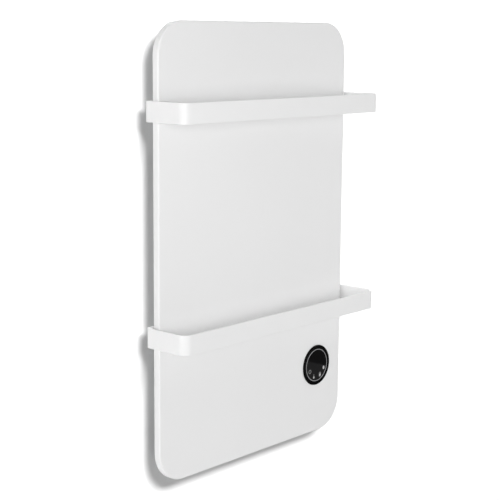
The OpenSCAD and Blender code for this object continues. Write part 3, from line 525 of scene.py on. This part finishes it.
# The marks are drawn in millimetres to the right of the glass's centre and over it.
black_glass, place = start("smoked_glass")
to_centre, to_mm = (-176.0, 0.0, 265.0), (1e3, 1e3, 1e3)
at = place.node("Mapping", {}, {"Vector": place, "Location": to_centre, "Scale": to_mm})
split = {"Vector": at}
right, over = at.node("SeparateXYZ", {}, split), at.node("SeparateXYZ", {}, split, out=2)
key_arc, ring_key, heat_key, lock_key, oval_key = 23.8, -155.0, -110.5, -63.0, -22.5


def within(distance, reach, soft=0.12):
    """1 where the distance in millimetres is under reach, and 0 beyond, over a soft edge."""
    ends = {"From Min": reach - soft, "From Max": reach + soft, "To Min": 1.0, "To Max": 0.0}
    return place.node("MapRange", {"interpolation_type": "SMOOTHSTEP"}, {"Value": distance, **ends})


def from_key(angle):
    """How far to the right of a key's centre and over it a point lies. The key stands on the keys'
    arc, at this angle from the right."""
    turn = math.radians(angle)
    return right - key_arc * math.cos(turn), over - key_arc * math.sin(turn)


def reach_of(x, z):
    """How far this place is from its origin."""
    return (x * x + z * z) ** 0.5


def over_all(*marks):
    """The brightest of these marks at each point."""
    first, *others = marks
    for mark in others:
        first = first.math("MAXIMUM", mark)
    return first


x, z = from_key(ring_key)
ring_mark = within(abs(reach_of(x - 1.0, z) - 3.4), 0.8, 0.3)
x, z = from_key(heat_key)
bulb, stem = within(reach_of(x, z + 1.5), 2.3), within(abs(x), 1.2) * within(abs(z - 1.6), 3.4)
heat_mark = over_all(bulb, stem * 0.35)
x, z = from_key(lock_key)
shackle = within(abs(reach_of(x, z - 2.2) - 2.3), 0.7) * within(1.6 - z, 0.0)
case = within(abs(x), 2.7) * within(abs(z + 0.5), 2.2)
foot = within(abs(x), 1.6) * within(abs(z + 3.4), 1.6)
lock_mark = over_all(shackle * 0.6, case, foot * 0.4)
x, z = from_key(oval_key)
oval_mark = within(reach_of(x, z * 0.76), 2.75)

# The glass is darker within the display's circle above a slanted line, and painted a little lighter
# elsewhere. The lighter part below the line is a painted reflection.
pane_r, reflection_edge, reflection_slope, reflection_fade = 29.4, 3.4, 0.33, 2.6
above_painted_reflection = within(reach_of(right, over), pane_r, 0.3)
above_painted_reflection = above_painted_reflection * within(reflection_edge - over - right * reflection_slope, 0.0, reflection_fade)
# The key symbols glow by emission at set strengths whatever the light: a painted glow standing for grey
# print.
painted_key_glow = ring_mark * 0.2 + heat_mark * 0.42 + lock_mark * 0.42 + oval_mark * 0.46
smoke = place.noise(120.0, 3.0)
coat(
    place,
    colour=above_painted_reflection.colours((0.0125, 0.0125, 0.0128), (0.0012, 0.0012, 0.0014)),
    roughness=smoke * 0.03 + 0.05,
    Specular_IOR_Level=0.028,
    Emission_Color=painted_key_glow.colours((0.0, 0.0, 0.0), (1.0, 1.0, 1.0)),
    Emission_Strength=1.0,
)
fit(turned("glass_disc", glass_profile, solid=True), black_glass, node="control_glass")

wear(black_plastic, "control_housing", "control_nut", "display_module")
rubber, place = start("black_rubber")
bloom = place.noise(90.0, 4.0)
coat(
    place,
    colour=bloom.colours((0.018, 0.018, 0.018), (0.04, 0.04, 0.039)),
    roughness=bloom * 0.2 + 0.6,
    Normal=place.noise(2500.0).bump(0.00004),
)
wear(rubber, "control_gasket")

circuit_board, place = start("solder_mask")
square = place.node("TexBrick", {}, {"Vector": place, "Scale": 160.0, "Mortar Size": 0.06}, out="Fac")
traces = square * place.noise(90.0, 0.0).math("GREATER_THAN", 0.5)
coat(
    place,
    colour=traces.colours((0.008, 0.09, 0.035), (0.03, 0.22, 0.09)),
    roughness=traces * 0.1 + 0.3,
    Normal=traces.bump(0.00004),
)
wear(circuit_board, "display_board", "power_board")


# ---- Power electronics ----------------------------------------------------------------------
# The board stands on four posts inside a pressed box behind the panel, with a relay, transformer,
# capacitors and connectors on it. The box has two rows of vent slots and its own flange screws.
eased("electronics_cover", 0.00025, cover_coat)
eased("electronics_cover_screws", 0.00025, plated_steel)
wear(plated_steel, "board_standoffs", "board_screws", "earth_stud")


def moulded(name, dark, light, rough, *nodes):
    """A moulded plastic between two close colours, with a fine grain, on these nodes."""
    made, place = start(name)
    grain = place.noise(1500.0, 3.0)
    coat(place, grain.colours(dark, light), grain * 0.14 + rough, Normal=grain.bump(0.00003))
    wear(made, *nodes)
    return made


moulded("relay_blue", (0.015, 0.08, 0.30), (0.03, 0.13, 0.40), 0.34, "relay")
moulded("winding_tape", (0.62, 0.42, 0.04), (0.76, 0.55, 0.08), 0.38, "transformer")
moulded("shrink_sleeve", (0.01, 0.02, 0.06), (0.02, 0.03, 0.09), 0.3, "capacitors")
moulded("connector_green", (0.02, 0.20, 0.07), (0.04, 0.30, 0.11), 0.4, "lead_connector")
moulded("ivory_nylon", (0.62, 0.60, 0.50), (0.72, 0.70, 0.60), 0.42, "terminal_block", "ribbon_connector")


# ---- Leads and inlet ------------------------------------------------------------------------
# Sleeved leads run from the connector through a rubber grommet to the sheet, the cut-outs and the
# sensor. The supply comes in through a nylon gland in the bottom of the box.
brown = (0.10, 0.035, 0.015), (0.17, 0.065, 0.03)
moulded("brown_silicone", *brown, 0.4, "live_lead", "link_lead", "supply_leads")
moulded("blue_silicone", (0.015, 0.07, 0.26), (0.03, 0.12, 0.36), 0.4, "return_lead")
moulded("grey_silicone", (0.24, 0.24, 0.25), (0.34, 0.34, 0.35), 0.45, "sensor_lead", "display_cable")

earth_sleeve, place = start("striped_silicone")
stripe = place.node("SeparateXYZ", {}, {"Vector": place}, out=0)
halves = (stripe * 400.0).math("SINE").math("GREATER_THAN", 0.2)
coat(
    place,
    colour=halves.colours((0.05, 0.30, 0.07), (0.75, 0.62, 0.05)),
    roughness=place.noise(900.0) * 0.1 + 0.4,
)
wear(earth_sleeve, "earth_lead")

grey_nylon = moulded("gland_nylon", (0.20, 0.20, 0.21), (0.28, 0.28, 0.29), 0.44, "gland_locknut")
eased("cable_gland", 0.0005, grey_nylon)
wear(rubber, "lead_grommet")


# ---- Wall spacers ---------------------------------------------------------------------------
# Two rubber buffers at the foot of the back. Each has a barbed neck pushed through a hole in the
# rear cover, and its flat end rests on the wall.
eased("wall_spacers", 0.0005, rubber, steps=3)


# ---- Studio ---------------------------------------------------------------------------------
# A white wall at the back of the heater, a pale floor, even light all round that is fuller from the
# right, and soft lamps. Seen from behind, the wall is clear, so that the back of the heater shows.
def sheet_of(name, corners):
    """A flat stage piece with these four corners."""
    mesh = bpy.data.meshes.new(name)
    mesh.from_pydata(corners, [], [(0, 1, 2, 3)])
    piece = bpy.data.objects.new(name, mesh)
    bpy.context.scene.collection.objects.link(piece)
    return piece


wall_y, floor_z = 0.0004, -1
wall = sheet_of("wall", [(-4, wall_y, floor_z), (6, wall_y, floor_z), (6, wall_y, 3), (-4, wall_y, 3)])
floor = sheet_of("floor", [(-6, -6, floor_z), (6, -6, floor_z), (6, 6, floor_z), (-6, 6, floor_z)])


def rays(place, *kinds):
    """1 for light rays of any of these kinds, and 0 for the others."""
    paths = place.node("LightPath").socket.node.outputs
    return over_all(*(Wire(place.tree, paths[f"Is {kind} Ray"]) for kind in kinds))


wall_white, place = start("wall_white")
behind = place.node("NewGeometry", out="Backfacing")
paint = place.node("BsdfDiffuse", {}, {"Color": (0.73, 0.73, 0.73, 1)})
clear = place.node("BsdfTransparent")
seen = rays(place, "Camera", "Glossy") * (1.0 - behind)
front_only = place.node("MixShader", {}, {0: seen, 1: clear, 2: paint})
place.node("OutputMaterial", {}, {"Surface": front_only})
wall.data.materials.append(wall_white)

floor_white, place = start("floor_white")
seen = rays(place, "Camera", "Glossy") * 0.35
glow = place.node("Emission", {}, {"Color": (1, 1, 1, 1), "Strength": seen})
paint = place.node("BsdfDiffuse", {}, {"Color": (0.8, 0.8, 0.8, 1)})
place.node("OutputMaterial", {}, {"Surface": place.node("AddShader", {}, {0: paint, 1: glow})})
floor.data.materials.append(floor_white)

world = bpy.data.worlds.new("studio")
bpy.context.scene.world = world
world.use_nodes = True
world.node_tree.nodes.clear()
sky = Wire(world.node_tree)
rightward = sky.node("SeparateXYZ", {}, {"Vector": sky.node("TexCoord", out="Generated")})
from_right, all_round = 0.72, 0.22
room = rightward.math("MAXIMUM", 0.0) * from_right + all_round
white = rays(sky, "Camera", "Glossy", "Transmission").math("MAXIMUM", room)
light = sky.node("Background", {}, {"Color": (1, 1, 1, 1), "Strength": white})
sky.node("OutputWorld", {}, {"Surface": light})


def soft_lamp(name, turn, rise, far, wide, tall, level, about=(0, -0.04, 0)):
    """An oval lamp of this width and height, so far from the panel, turned from its front to the left
    and raised, both in degrees. level is the light that it gives a white face turned to it."""
    turn, rise = math.radians(turn), math.radians(rise)
    way = Vector((-math.sin(turn) * math.cos(rise), -math.cos(turn) * math.cos(rise), math.sin(rise)))
    lamp = bpy.data.objects.new(name, bpy.data.lights.new(name, "AREA"))
    lamp.data.shape, lamp.data.size, lamp.data.size_y = "ELLIPSE", wide, tall
    lamp.data.energy = level * math.pi ** 2 * far ** 2
    lamp.location = Vector(about) + way * far
    lamp.rotation_euler = way.to_track_quat("Z", "Y").to_euler()
    lamp.visible_camera = False
    bpy.context.scene.collection.objects.link(lamp)
    return lamp


wall_lamp = soft_lamp("wall_lamp", turn=14, rise=35, far=6.0, wide=3.5, tall=1.8, level=1.8)
near_place = (0.14, -0.04, 0.02)
object_lamps = [
    soft_lamp("key_lamp", turn=48, rise=8, far=3.2, wide=0.8, tall=0.8, level=0.335),
    soft_lamp("left_lamp", turn=84, rise=8, far=6.0, wide=4.3, tall=4.3, level=0.34),
    soft_lamp("top_lamp", turn=10, rise=60, far=4.0, wide=2.6, tall=2.6, level=0.06),
    soft_lamp("near_lamp", turn=-25, rise=0, far=1.6, wide=0.6, tall=0.6, level=0.165, about=near_place),
    soft_lamp("rear_lamp", turn=222, rise=28, far=2.6, wide=1.1, tall=1.1, level=0.5),
]
for lamp, state in [(wall_lamp, "INCLUDE")] + [(lamp, "EXCLUDE") for lamp in object_lamps]:
    reached = bpy.data.collections.new(lamp.name + "_reaches")
    reached.objects.link(wall)
    reached.collection_objects[0].light_linking.link_state = state
    lamp.light_linking.receiver_collection = reached

bpy.context.scene.view_settings.view_transform = "Standard"
